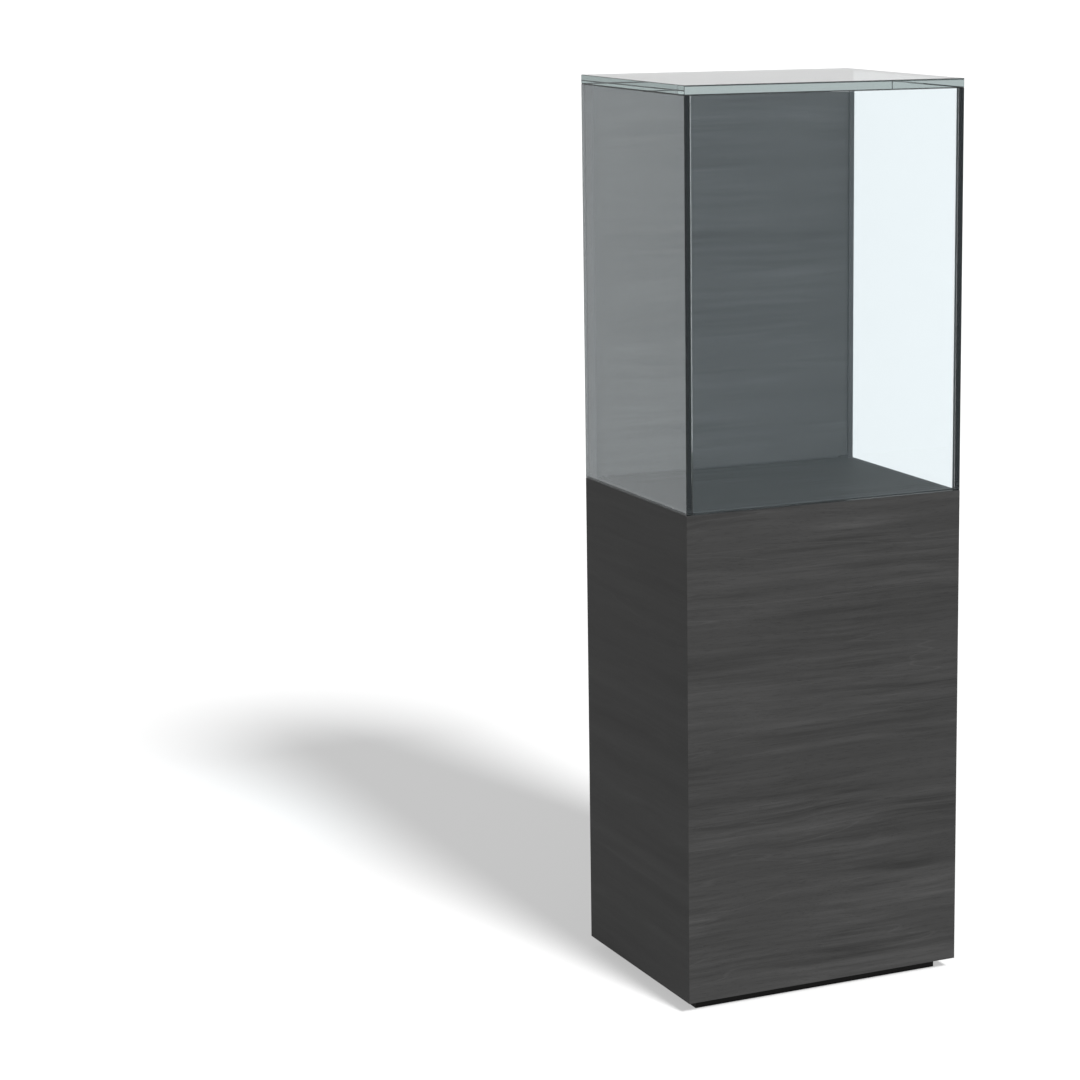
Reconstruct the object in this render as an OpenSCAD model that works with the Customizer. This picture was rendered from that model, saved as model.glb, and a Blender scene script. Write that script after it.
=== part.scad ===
// Pedestal display case: a laminated base cabinet that carries a glass case.
// Origin at the centre of the footprint on the floor, +Z up, the front faces -Y.
// The case and the cabinet each open at the rear, by a hinged and locked door.

/* [Case] */
// Overall width
case_w = 500; // [440:10:700]
// Overall depth
case_d = 390; // [340:10:560]
// Overall height
case_h = 1500; // [1300:10:1900]
// Height of the display deck above the floor
base_h = 830; // [700:10:950]

/* [Boards] */
// Thickness of the laminated boards
board_t = 19; // [16:1:22]
// Gap between a door and the frame round it
door_gap = 2; // [1:0.5:3]
// Thickness of the spline in each front mitre
spline_t = 4; // [3:0.5:5]
// Width of that spline across the mitre
spline_w = 12; // [8:1:13]
// Distance from the end of a mitre to the end of its spline
spline_stop = 12; // [8:1:30]
// Width of the bevel along the boards' exposed edges
board_arris = 0.5; // [0.25:0.25:1]

/* [Glass] */
// Thickness of the front and side panes
wall_glass_t = 10; // [6:1:12]
// Thickness of the top pane
top_glass_t = 15; // [8:1:19]
// Width of the polished bevel on every glass edge
arris = 1; // [0.5:0.25:1.5]
// Depth of the rebate that the panes stand in
rebate_d = 3; // [2:0.5:5]
// Thickness of the silicone bed under the panes
bedding_t = 1; // [0.5:0.25:1.5]
// Distance of that bed from the faces of the glass
bedding_inset = 0.5; // [0.25:0.25:1]
// Thickness of the clear bond between glass and glass or glass and frame
bond_t = 0.2; // [0.1:0.05:0.4]

/* [Rear frame] */
// Thickness of the frame's steel angle
frame_t = 3; // [2:0.5:4]
// Width of the angle's leg, seen from the front
frame_leg = 9; // [8:0.5:12]
// Depth of the recess behind both doors
back_recess = 14.5; // [14.5:0.5:24]
// Thickness of the door seal
seal_t = 1.5; // [1:0.25:3]
// Width of the door seal
seal_w = 3; // [2:0.5:3.5]
// Width of the sweep under the display door
sweep_w = 8; // [6:0.5:9]
// Width of the groove that holds the sweep
sweep_groove_w = 3; // [2.5:0.25:3.5]
// Depth of that groove
sweep_groove_d = 5; // [4:0.5:6]
// Length of a foot tab along the deck
tab_l = 20; // [18:1:30]
// Width of a foot tab
tab_w = 13; // [10:1:14]
// Radius of a foot tab's corners
tab_corner = 4; // [2:0.5:5]

/* [Hinges] */
// Height of a hinge
hinge_h = 60; // [50:5:80]
// Number of knuckles in a hinge
knuckle_count = 5; // [3:2:7]
// Outer radius of a knuckle
knuckle_r = 3.2; // [2.8:0.1:3.6]
// Radius of a hinge pin
hinge_pin_r = 1.5; // [1.2:0.1:1.8]
// Thickness of a leaf
leaf_t = 1.5; // [1.4:0.1:2]
// Width of the leaf on the frame or side panel
frame_leaf_w = 10; // [9.5:0.25:10.5]
// Width of the leaf on the door
door_leaf_w = 18; // [14:1:30]
// Radius of a leaf's outer corners
leaf_corner = 2.5; // [1:0.25:2.75]
// Distance from a door's end to the middle of its hinge
hinge_inset = 90; // [60:5:150]

/* [Locks] */
// Width of a lock case
lock_w = 36; // [34:1:44]
// Height of a lock case
lock_h = 42; // [40:1:52]
// Depth of a lock case
lock_d = 12; // [11:0.5:13]
// Thickness of the case's wall
lock_wall = 1.5; // [1:0.25:2]
// Radius of the case's corners
lock_corner = 3; // [2.5:0.25:4]
// Radius of the key plug
plug_r = 6; // [5:0.5:7]
// Travel of the bolt in a quarter turn of the key
bolt_travel = 10; // [8:0.5:11]
// Width of the bolt's tongue
bolt_w = 14; // [10:1:16]
// Thickness of the bolt
bolt_t = 3; // [2:0.25:3.25]
// Radius of the pin that drives the bolt
drive_pin_r = 1.5; // [1:0.1:1.8]
// Distance from a door's free edge to its lock's centre line
lock_inset = 40; // [36:1:70]
// Length of a strike plate
strike_l = 40; // [34:1:50]
// Width of a strike plate
strike_w = 12; // [10:0.5:14]
// Thickness of a strike plate
strike_t = 1.5; // [1.5:0.25:2]
// Radius of its corners
strike_corner = 3; // [1:0.5:4]

/* [Storage] */
// Height of the shelf's underside above the floor
shelf_z = 415; // [330:5:560]
// Gap between the shelf and the boards round it
shelf_gap = 1.5; // [1:0.5:3]
// Distance from the shelf's rear edge to the storage door
shelf_setback = 21; // [15:1:60]
// Radius of the shelf pins' holes
pin_hole_r = 2.5; // [2:0.25:3]
// Depth of those holes
pin_hole_depth = 10; // [8:1:12]
// Spacing of the holes in a row
pin_pitch = 32; // [25:1:40]
// Number of spare holes above and below a pin
pin_spares = 5; // [1:1:6]
// Distance from the front panel or the storage door to a row of holes
pin_row_inset = 50; // [35:5:80]
// Height of the batten that stops the storage door
stop_h = 30; // [20:1:45]
// Radius of a rubber bumper
bumper_r = 5; // [3:0.5:8]
// Distance from a door's edge to a bumper
bumper_inset = 50; // [20:5:120]

/* [Plinth] */
// Height of the plinth
plinth_h = 20; // [15:1:40]
// Distance of the plinth from the side faces
plinth_side_inset = 25; // [15:1:40]
// Distance of the plinth from the front face
plinth_front_inset = 28; // [15:1:45]
// Distance of the plinth from the back face
plinth_rear_inset = 25; // [15:1:45]

/* [Levellers] */
// Radius of a leveller's foot
foot_r = 15; // [12:1:18]
// Thickness of that foot
foot_t = 5; // [4:0.5:7]
// Radius of a leveller's stem
stem_r = 4; // [3:0.5:5]
// Height of the foot above the floor when it is screwed in
foot_lift = 1; // [0.5:0.5:2]
// Distance that the foot can be screwed out
leveller_travel = 10; // [6:1:12]
// Height of the hexagon that a spanner turns
hex_h = 4; // [3:0.5:5]
// Width of that hexagon from corner to corner
hex_w = 15; // [12:0.5:17]

/* [Fasteners] */
// Radius of a dowel
dowel_r = 4; // [3:0.5:4]
// Length of a dowel
dowel_l = 30; // [24:1:36]
// Radius of a cam fitting
cam_r = 7.5; // [6:0.5:8]
// Height of a cam fitting
cam_h = 14; // [12:0.5:14.5]
// Distance from a board's end to its cam
cam_reach = 34; // [28:1:40]
// Distance from the front panel to the first dowel in a side
joint_front_inset = 40; // [30:5:60]
// Distance from the rear edge to the last dowel in a side
joint_rear_inset = 60; // [50:5:80]
// Distance from a dowel to the cam beside it
cam_offset = 40; // [30:5:50]
// Distance from a side panel to the first dowel in the front
dowel_side_inset = 80; // [60:5:110]
// Radius of the small screws in hinges, locks and strikes
small_screw_r = 1.5; // [1.2:0.1:1.7]
// Length of those screws in wood
small_screw_l = 12; // [9:1:13]
// Radius of the screws in the plinth, stop and frame
big_screw_r = 2; // [1.5:0.25:2.25]
// Length of the screws in the plinth
plinth_screw_l = 34; // [26:1:36]

/* [Hidden] */
$fn = 48;

// Clearances: a close fit, a loose one, and how far a cutter passes a face
fit = 0.05;
loose = 0.3;
cut = 1;

// Where the splines cross the mitre, as a share of the board's thickness
spline_place = 0.42;

// Colours
laminate_colour = [0.275, 0.27, 0.268];
plinth_colour = [0.075, 0.072, 0.07];
frame_colour = [0.11, 0.115, 0.12];
glass_colour = [0.72, 0.84, 0.86, 0.35];
silicone_colour = [0.75, 0.77, 0.78];
steel_colour = [0.70, 0.71, 0.72];
zinc_colour = [0.60, 0.61, 0.60];
beech_colour = [0.78, 0.62, 0.43];
rubber_colour = [0.09, 0.09, 0.09];

// Planes of the cabinet
half_w = case_w / 2;
front_y = -case_d / 2;
back_y = case_d / 2;
side_in = half_w - board_t;
front_in = front_y + board_t;
floor_top = plinth_h + board_t;
deck_z = base_h - board_t;

// Planes of the glass
pane_z = base_h - rebate_d + bedding_t;
top_z = case_h - top_glass_t;
pane_h = top_z - bond_t - pane_z;
pane_in = half_w - wall_glass_t;

// Planes of the rear frame
frame_depth = frame_t + seal_t + board_t + back_recess;
frame_out = pane_in - bond_t;
web_in = frame_out - frame_t;
lip_in = frame_out - frame_leg;
frame_y = back_y - frame_depth;
lip_y = frame_y + frame_t;
frame_top = top_z - bond_t;
seal_clear = 0.1;
seal_lap = 0.5;
sweep_inset = 5;
sweep_flange_t = 1.5;
sweep_lip_w = 2.5;
sweep_tip_w = 1.5;
sweep_tab_clear = 2;
tab_hole_x = web_in - tab_l + tab_w / 2;
tab_hole_y = back_y - tab_w / 2;

// Doors
door_y = lip_y + seal_t;
door_back = door_y + board_t;
sill_clear = 1;
display_half = web_in - door_gap;
display_z0 = base_h + frame_t + sill_clear;
display_z1 = frame_top - frame_t - door_gap;
sweep_y = door_y + sweep_inset;
sweep_half = web_in - tab_l - sweep_tab_clear;
storage_half = side_in - door_gap;
storage_z0 = floor_top + door_gap;
storage_z1 = deck_z - door_gap;

// Hinges
axis_off = knuckle_r + loose;
hinge_y = door_back + axis_off;
display_axis_x = web_in - axis_off;
storage_axis_x = side_in - axis_off;
display_hinge_z = [display_z0 + hinge_inset, display_z1 - hinge_inset];
storage_hinge_z = [storage_z0 + hinge_inset, storage_z1 - hinge_inset];
knuckle_h = hinge_h / knuckle_count;
knuckle_gap = 0.2;
leaf_start = axis_off + fit;
leaf_hole_z = [-hinge_h / 3, hinge_h / 3];
frame_hole_y = (leaf_start + frame_leaf_w) / 2;
door_hole_x = (leaf_start + door_leaf_w) / 2;
pin_head_r = (hinge_pin_r + knuckle_r) / 2;
pin_head_h = 1;

// Locks: the drive pin swings a quarter turn, 45 degrees each side of level
lock_edge = 1;
crank_r = bolt_travel / sqrt(2);
slot_play = 0.35;
slot_h = 2 * (drive_pin_r + slot_play);
slot_x0 = bolt_travel / 2 - drive_pin_r - slot_play;
slot_x1 = crank_r + drive_pin_r + slot_play;
bolt_wall = 2.5;
bolt_body_w = 2 * (slot_x1 + bolt_wall);
bolt_body_h = slot_h + 2 * bolt_wall;
disc_rim = 0.5;
disc_r = crank_r + drive_pin_r + disc_rim;
disc_t = 2;
disc_y = 2 * loose + bolt_t;
plug_proud = 0.5;
collar_wall = 2;
collar_r = plug_r + collar_wall;
keyway_w = 1.6;
post_wall = 1;
post_sink = 0.5;
post_r = small_screw_r + post_wall;
post_x = lock_w / 2 - lock_wall - post_r + post_sink;
post_z = lock_h / 2 - lock_wall - post_r + post_sink;
lock_screw_grip = 10;
lock_screw_l = lock_d + lock_screw_grip;
display_lock = [-(display_half - lock_inset), display_z0 + lock_edge + lock_h / 2];
storage_lock = [-(storage_half - lock_inset), storage_z1 - lock_edge - lock_h / 2];

// Strike plates, let in flush above and below the deck
bolt_mid_y = door_back + loose + bolt_t / 2;
strike_side_play = 0.5;
strike_face_play = 0.4;
strike_slot_w = bolt_w + 2 * strike_side_play;
strike_slot_d = bolt_t + 2 * strike_face_play;
strike_hole_inset = 5;
strike_hole_x = strike_l / 2 - strike_hole_inset;
display_reach = display_lock.y - lock_h / 2 - bolt_travel;
storage_reach = storage_lock.y + lock_h / 2 + bolt_travel;
pocket_over = 1;

// Countersunk heads, the small ones a little lower than a leaf is thick
leaf_web = 0.1;
small_head_r = small_screw_r + leaf_t - leaf_web;
big_head_r = 2 * big_screw_r;
drive_depth = 0.7;
drive_w = 0.7;
tab_screw_l = frame_t + small_screw_l;

// Joints of the carcass: dowels and cams from the side, dowels from the front
dowel_seat = 12;
dowel_wall = 5;
dowel_in_face = min(dowel_seat, board_t - dowel_wall);
joint_y0 = front_in + joint_front_inset;
joint_y1 = back_y - joint_rear_inset;
dowel_ys = [joint_y0, (joint_y0 + joint_y1) / 2, joint_y1];
cam_ys = [joint_y0 + cam_offset, joint_y1 - cam_offset];
joint_zs = [plinth_h + board_t / 2, deck_z + board_t / 2];
dowel_xs = [-1, 0, 1] * (side_in - dowel_side_inset);
cam_bolt_r = 3.4;
cam_neck_r = 1.8;
cam_head_l = 2.5;
cam_neck_l = 6;
cam_thread_r = 2.5;
cam_thread_l = 11;
cam_drive_l = 6;
cam_drive_d = 2;

// Shelf and its pins
shelf_pin_z = shelf_z - pin_hole_r - loose - fit;
pin_front_y = front_in + pin_row_inset;
pin_back_y = door_y - pin_row_inset;
pin_flange_rim = 1.5;
pin_flange_r = pin_hole_r + pin_flange_rim;
pin_flange_t = 1.2;
pin_peg_l = 9;

// Stop batten
bumper_t = seal_t;
stop_y = door_y - bumper_t;
stop_screw_l = stop_h + small_screw_l;
bumper_x = storage_half - bumper_inset;
bumper_z = deck_z - stop_h / 2;

// Plinth, from the same board as the cabinet
plinth_x = half_w - plinth_side_inset;
plinth_y0 = front_y + plinth_front_inset;
plinth_y1 = back_y - plinth_rear_inset;
plinth_mid = (plinth_y0 + plinth_y1) / 2;
screw_step_x = 100;
screw_step_y = 45;

// Levellers stand in the plinth's corners
foot_clear = 5;
leveller_inset = board_t + foot_r + foot_clear;
leveller_x = plinth_x - leveller_inset;
leveller_y0 = plinth_y0 + leveller_inset;
leveller_y1 = plinth_y1 - leveller_inset;
sleeve_wall = 3;
sleeve_rim = 2;
sleeve_end = 1;
sleeve_r = stem_r + sleeve_wall;
sleeve_flange_r = sleeve_r + sleeve_rim;
sleeve_flange_t = 1.5;
leveller_grip = 7;
stem_top = plinth_h + leveller_grip + leveller_travel;
stem_slot_d = 2;
foot_rim = 1;

// ---------- shared forms ----------

// A rectangle from the origin with its four corners bevelled
module bevelled(w, h, c) {
    polygon([[c, 0], [w - c, 0], [w, c], [w, h - c], [w - c, h], [c, h], [0, h - c], [0, c]]);
}

// A box given by its two corners, whose twelve edges all carry a bevel
module bevelled_block(lo, hi, c) {
    size = hi - lo;
    translate(lo)
        intersection() {
            linear_extrude(size.z)
                bevelled(size.x, size.y, c);
            translate([0, size.y, 0])
                rotate([90, 0, 0])
                    linear_extrude(size.y)
                        bevelled(size.x, size.z, c);
            rotate([90, 0, 90])
                linear_extrude(size.x)
                    bevelled(size.y, size.z, c);
        }
}

// A plain box given by its two corners
module block(lo, hi) {
    translate(lo)
        cube(hi - lo);
}

// A rectangle about the origin with rounded corners
module rounded(size, r) {
    square([size.x - 2 * r, size.y], center = true);
    square([size.x, size.y - 2 * r], center = true);
    for (x = [-1, 1], y = [-1, 1])
        translate([x * (size.x / 2 - r), y * (size.y / 2 - r)])
            circle(r);
}

// The piece and its twin on the other side of the case
module both_sides() {
    children();
    mirror([1, 0, 0])
        children();
}

// A countersunk screw with a cross recess, pointing down from its head at the origin
module screw(len, r, head_r) {
    head_h = head_r - r;
    point_h = 2 * r;
    difference() {
        union() {
            translate([0, 0, -head_h])
                cylinder(h = head_h, r1 = r, r2 = head_r);
            translate([0, 0, point_h - len])
                cylinder(h = len - point_h, r = r);
            translate([0, 0, -len])
                cylinder(h = point_h, r1 = r / 3, r2 = r);
        }
        for (a = [0, 90])
            rotate(a)
                translate([-head_r / 2, -drive_w / 2, -drive_depth])
                    cube([head_r, drive_w, drive_depth + cut]);
    }
}

// The hole for that screw, open above its head
module screw_hole(len, r, head_r) {
    head_h = head_r - r;
    translate([0, 0, -head_h])
        cylinder(h = head_h + cut, r1 = r + fit, r2 = head_r + fit + cut);
    translate([0, 0, -len - fit])
        cylinder(h = len, r = r + fit);
}

// ---------- base cabinet ----------

// Outline of a side panel, mitred at the front corner and bevelled on every other edge
module side_outline() {
    c = board_arris;
    polygon([
        [half_w, front_y + c], [half_w, back_y - c], [half_w - c, back_y],
        [side_in + c, back_y], [side_in, back_y - c], [side_in, front_in],
        [half_w - c / 2, front_y + c / 2]
    ]);
}

// Outline of the front panel, with a mitre at each end
module front_outline() {
    c = board_arris;
    polygon([
        [c - half_w, front_y], [half_w - c, front_y], [half_w - c / 2, front_y + c / 2],
        [side_in, front_in], [-side_in, front_in], [c / 2 - half_w, front_y + c / 2]
    ]);
}

// Both splines' space, wider by play on every side
module splines(play) {
    z0 = plinth_h + spline_stop;
    z1 = base_h - rebate_d - spline_stop;
    both_sides()
        translate([side_in + board_t * spline_place, front_in - board_t * spline_place, 0])
            rotate(45)
                translate([-spline_w / 2 - play, -spline_t / 2 - play, z0 - play])
                    cube([spline_w + 2 * play, spline_t + 2 * play, z1 - z0 + 2 * play]);
}

// Every dowel's space, longer and wider by play
module dowels(play) {
    for (z = joint_zs) {
        both_sides()
            for (y = dowel_ys)
                translate([side_in + dowel_in_face + play, y, z])
                    rotate([0, -90, 0])
                        cylinder(h = dowel_l + 2 * play, r = dowel_r + play);
        for (x = dowel_xs)
            translate([x, front_in - dowel_in_face - play, z])
                rotate([-90, 0, 0])
                    cylinder(h = dowel_l + 2 * play, r = dowel_r + play);
    }
}

// A cam bolt's bore, through the end of the board and into the side panel
module cam_bolt_bore() {
    translate([side_in - cam_reach, 0, 0])
        rotate([0, 90, 0])
            cylinder(h = cam_reach, r = cam_bolt_r + fit);
    translate([side_in - fit, 0, 0])
        rotate([0, 90, 0])
            cylinder(h = cam_thread_l + 2 * fit, r = cam_thread_r + fit);
}

// The bolt: a head and a slim neck that the cam grips, a shank, and a threaded end
module cam_bolt() {
    shank_x = cam_head_l + cam_neck_l;
    end_x = cam_reach + cam_thread_l;
    translate([side_in - cam_reach, 0, 0])
        rotate([0, 90, 0])
            rotate_extrude()
                polygon([
                    [0, 0], [cam_bolt_r - cam_head_l / 2, 0], [cam_bolt_r, cam_head_l / 2],
                    [cam_bolt_r, cam_head_l], [cam_neck_r, cam_head_l], [cam_neck_r, shank_x],
                    [cam_bolt_r, shank_x], [cam_bolt_r, cam_reach], [cam_thread_r, cam_reach],
                    [cam_thread_r, end_x - cam_thread_r / 2], [cam_thread_r / 2, end_x], [0, end_x]
                ]);
}

// Each place of a cam, at the underside of the bottom board and of the deck
module at_cams() {
    for (z = [plinth_h, deck_z])
        both_sides()
            for (y = cam_ys)
                translate([0, y, z])
                    children();
}

// The bores of all cam bolts
module cam_bolt_bores() {
    at_cams()
        translate([0, 0, board_t / 2])
            cam_bolt_bore();
}

// The holes for all cams, open below
module cam_holes() {
    at_cams()
        translate([side_in - cam_reach, 0, -cut])
            cylinder(h = cam_h + cut + fit, r = cam_r + fit);
}

// One row of shelf pin holes
module pin_row() {
    for (i = [-pin_spares : pin_spares])
        translate([side_in - cut, 0, shelf_pin_z + i * pin_pitch])
            rotate([0, 90, 0])
                cylinder(h = pin_hole_depth + cut, r = pin_hole_r);
}

module side_panel() {
    difference() {
        translate([0, 0, plinth_h])
            linear_extrude(base_h - plinth_h)
                side_outline();
        block([pane_in, front_y - cut, base_h - rebate_d], [half_w + cut, back_y + cut, base_h + cut]);
        splines(fit);
        dowels(fit);
        cam_bolt_bores();
        for (y = [pin_front_y, pin_back_y])
            translate([0, y, 0])
                pin_row();
    }
}

module front_panel() {
    color(laminate_colour)
        difference() {
            translate([0, 0, plinth_h])
                linear_extrude(base_h - plinth_h)
                    front_outline();
            block([-half_w - cut, front_y - cut, base_h - rebate_d],
                  [half_w + cut, front_y + wall_glass_t, base_h + cut]);
            splines(fit);
            dowels(fit);
        }
}

module left_side_panel() {
    color(laminate_colour)
        mirror([1, 0, 0])
            side_panel();
}

module right_side_panel() {
    color(laminate_colour)
        difference() {
            side_panel();
            storage_frame_screw_holes();
        }
}

module corner_splines() {
    color(beech_colour)
        splines(0);
}

module bottom_board() {
    color(laminate_colour)
        difference() {
            block([-side_in, front_in, plinth_h], [side_in, back_y, floor_top]);
            dowels(fit);
            cam_bolt_bores();
            cam_holes();
            at_plinth_screws()
                screw_hole(plinth_screw_l, big_screw_r, big_head_r);
            at_levellers()
                translate([0, 0, plinth_h - cut])
                    cylinder(h = board_t + 2 * cut, r = sleeve_r + fit);
        }
}

module deck_board() {
    color(laminate_colour)
        difference() {
            block([-side_in, front_in, deck_z], [side_in, back_y, base_h]);
            dowels(fit);
            cam_bolt_bores();
            cam_holes();
            rear_frame_screw_holes();
            at_stop_screws()
                screw_hole(stop_screw_l, big_screw_r, big_head_r);
            display_strike_recess();
            storage_strike_recess();
        }
}

module storage_shelf() {
    color(laminate_colour)
        bevelled_block([-(side_in - shelf_gap), front_in + shelf_gap, shelf_z],
                       [side_in - shelf_gap, door_y - shelf_setback, shelf_z + board_t], board_arris);
}

module shelf_pins() {
    color(steel_colour)
        both_sides()
            for (y = [pin_front_y, pin_back_y])
                translate([side_in, y, shelf_pin_z])
                    rotate([0, 90, 0]) {
                        cylinder(h = pin_hole_depth - loose, r = pin_hole_r - fit);
                        translate([0, 0, -pin_flange_t])
                            cylinder(h = pin_flange_t, r = pin_flange_r);
                        translate([0, 0, -pin_peg_l])
                            cylinder(h = pin_peg_l, r = pin_hole_r + loose);
                    }
}

module carcass_dowels() {
    color(beech_colour)
        dowels(0);
}

module cam_fittings() {
    color(zinc_colour)
        at_cams()
            difference() {
                translate([side_in - cam_reach, 0, 0])
                    cylinder(h = cam_h, r = cam_r);
                translate([side_in - cam_reach - cam_bolt_r,
                           -cam_bolt_r - loose,
                           board_t / 2 - cam_bolt_r - loose])
                    cube([cam_reach, 2 * (cam_bolt_r + loose), 2 * (cam_bolt_r + loose)]);
                for (a = [45, 135])
                    translate([side_in - cam_reach, 0, 0])
                        rotate(a)
                            translate([-cam_drive_l / 2, -drive_w, -cut])
                                cube([cam_drive_l, 2 * drive_w, cam_drive_d + cut]);
            }
}

module cam_bolts() {
    color(steel_colour)
        at_cams()
            translate([0, 0, board_t / 2])
                cam_bolt();
}

// ---------- plinth ----------

// Centres of the plinth screws' heads, in the top face of the bottom board
module at_plinth_screws() {
    for (x = [-screw_step_x, screw_step_x], y = [plinth_y0 + board_t / 2, plinth_y1 - board_t / 2])
        translate([x, y, floor_top])
            children();
    for (x = [-1, 1] * (plinth_x - board_t / 2), y = [plinth_mid - screw_step_y, plinth_mid + screw_step_y])
        translate([x, y, floor_top])
            children();
}

// A plinth board: its mitred outline as tall as the plinth, with the screws' holes
module plinth_board(outline) {
    color(plinth_colour)
        difference() {
            linear_extrude(plinth_h)
                polygon(outline);
            at_plinth_screws()
                screw_hole(plinth_screw_l, big_screw_r, big_head_r);
        }
}

module plinth_front() {
    in_y = plinth_y0 + board_t;
    in_x = plinth_x - board_t;
    plinth_board([[-plinth_x, plinth_y0], [plinth_x, plinth_y0], [in_x, in_y], [-in_x, in_y]]);
}

module plinth_rear() {
    in_y = plinth_y1 - board_t;
    in_x = plinth_x - board_t;
    plinth_board([[plinth_x, plinth_y1], [-plinth_x, plinth_y1], [-in_x, in_y], [in_x, in_y]]);
}

// Outline of the plinth's side board: side is 1 for the right, -1 for the left
function plinth_side_outline(side) = [
    [side * plinth_x, plinth_y0],
    [side * plinth_x, plinth_y1],
    [side * (plinth_x - board_t), plinth_y1 - board_t],
    [side * (plinth_x - board_t), plinth_y0 + board_t]
];

module plinth_left() {
    plinth_board(plinth_side_outline(-1));
}

module plinth_right() {
    plinth_board(plinth_side_outline(1));
}

module plinth_screws() {
    color(zinc_colour)
        at_plinth_screws()
            screw(plinth_screw_l, big_screw_r, big_head_r);
}

// ---------- levellers ----------

// The axis of each leveller, at floor level
module at_levellers() {
    for (x = [-leveller_x, leveller_x], y = [leveller_y0, leveller_y1])
        translate([x, y, 0])
            children();
}

module leveller_sleeves() {
    color(zinc_colour)
        at_levellers()
            difference() {
                union() {
                    translate([0, 0, plinth_h])
                        cylinder(h = board_t - sleeve_end, r = sleeve_r);
                    translate([0, 0, plinth_h - sleeve_flange_t])
                        cylinder(h = sleeve_flange_t, r = sleeve_flange_r);
                }
                translate([0, 0, plinth_h - sleeve_flange_t - cut])
                    cylinder(h = board_t + sleeve_flange_t + 2 * cut, r = stem_r + fit);
            }
}

// A foot with a bevelled rim, a hexagon for a spanner, and a stem with a screwdriver slot in its top
module leveller(x, y) {
    stem_l = stem_top - foot_lift;
    color(rubber_colour)
        translate([x, y, foot_lift])
            difference() {
                union() {
                    rotate_extrude()
                        polygon([
                            [0, 0], [foot_r - foot_rim, 0], [foot_r, foot_rim], [foot_r, foot_t - foot_rim],
                            [foot_r - 2 * foot_rim, foot_t], [stem_r, foot_t], [stem_r, stem_l], [0, stem_l]
                        ]);
                    cylinder(h = foot_t + hex_h, r = hex_w / 2, $fn = 6);
                }
                translate([-stem_r - cut, -drive_w, stem_l - stem_slot_d])
                    cube([2 * (stem_r + cut), 2 * drive_w, stem_slot_d + cut]);
            }
}

module leveller_front_left() {
    leveller(-leveller_x, leveller_y0);
}

module leveller_front_right() {
    leveller(leveller_x, leveller_y0);
}

module leveller_rear_left() {
    leveller(-leveller_x, leveller_y1);
}

module leveller_rear_right() {
    leveller(leveller_x, leveller_y1);
}

// ---------- storage door stop ----------

// Stop screws point up into the deck from the batten's underside
module at_stop_screws() {
    for (x = dowel_xs)
        translate([x, stop_y - board_t / 2, deck_z - stop_h])
            rotate([180, 0, 0])
                children();
}

module lower_door_stop() {
    color(laminate_colour)
        difference() {
            block([-(side_in - loose), stop_y - board_t, deck_z - stop_h], [side_in - loose, stop_y, deck_z]);
            at_stop_screws()
                screw_hole(stop_screw_l, big_screw_r, big_head_r);
        }
}

module stop_screws() {
    color(zinc_colour)
        at_stop_screws()
            screw(stop_screw_l, big_screw_r, big_head_r);
}

module stop_bumpers() {
    color(rubber_colour)
        both_sides()
            translate([bumper_x, stop_y, bumper_z])
                rotate([-90, 0, 0])
                    cylinder(h = bumper_t, r = bumper_r);
}

// ---------- glass case ----------

module glass_bedding() {
    out = half_w - bedding_inset;
    in = pane_in + bedding_inset;
    bed_front = front_y + bedding_inset;
    bed_in = front_y + wall_glass_t - bedding_inset;
    bed_back = back_y - bedding_inset;
    color(silicone_colour)
        translate([0, 0, base_h - rebate_d])
            linear_extrude(bedding_t)
                polygon([
                    [-out, bed_back], [-out, bed_front], [out, bed_front], [out, bed_back],
                    [in, bed_back], [in, bed_in], [-in, bed_in], [-in, bed_back]
                ]);
}

module left_glass() {
    color(glass_colour)
        bevelled_block([-half_w, front_y, pane_z], [-pane_in, back_y, pane_z + pane_h], arris);
}

module right_glass() {
    color(glass_colour)
        bevelled_block([pane_in, front_y, pane_z], [half_w, back_y, pane_z + pane_h], arris);
}

module front_glass() {
    color(glass_colour)
        bevelled_block([bond_t - pane_in, front_y, pane_z],
                       [pane_in - bond_t, front_y + wall_glass_t, pane_z + pane_h], arris);
}

module top_glass() {
    color(glass_colour)
        bevelled_block([-half_w, front_y, top_z], [half_w, back_y, case_h], arris);
}

// ---------- rear frame ----------

// The angle's section, seen from above, at the right-hand pane
module frame_section() {
    polygon([
        [frame_out, frame_y], [frame_out, back_y], [web_in, back_y],
        [web_in, lip_y], [lip_in, lip_y], [lip_in, frame_y]
    ]);
}

// Foot tab screws point down into the deck
module rear_frame_screw_holes() {
    at_tab_screws()
        screw_hole(tab_screw_l, big_screw_r, big_head_r);
}

module at_tab_screws() {
    both_sides()
        translate([tab_hole_x, tab_hole_y, base_h + frame_t])
            children();
}

// A foot tab along the deck, with rounded corners at its free end
module foot_tab() {
    translate([0, 0, base_h])
        linear_extrude(frame_t) {
            translate([web_in - tab_l / 2, back_y - tab_w / 2])
                rounded([tab_l, tab_w], tab_corner);
            translate([web_in - tab_l / 2, back_y - tab_w])
                square([frame_out - web_in + tab_l / 2, tab_w]);
        }
}

module rear_frame() {
    color(frame_colour)
        difference() {
            union() {
                both_sides() {
                    translate([0, 0, base_h])
                        linear_extrude(frame_top - base_h)
                            frame_section();
                    foot_tab();
                }
                block([-frame_out, frame_y, frame_top - frame_t], [frame_out, back_y, frame_top]);
                block([-frame_out, frame_y, frame_top - frame_leg], [frame_out, lip_y, frame_top]);
            }
            rear_frame_screw_holes();
            display_frame_screw_holes();
        }
}

module rear_frame_screws() {
    color(zinc_colour)
        at_tab_screws()
            screw(tab_screw_l, big_screw_r, big_head_r);
}

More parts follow.
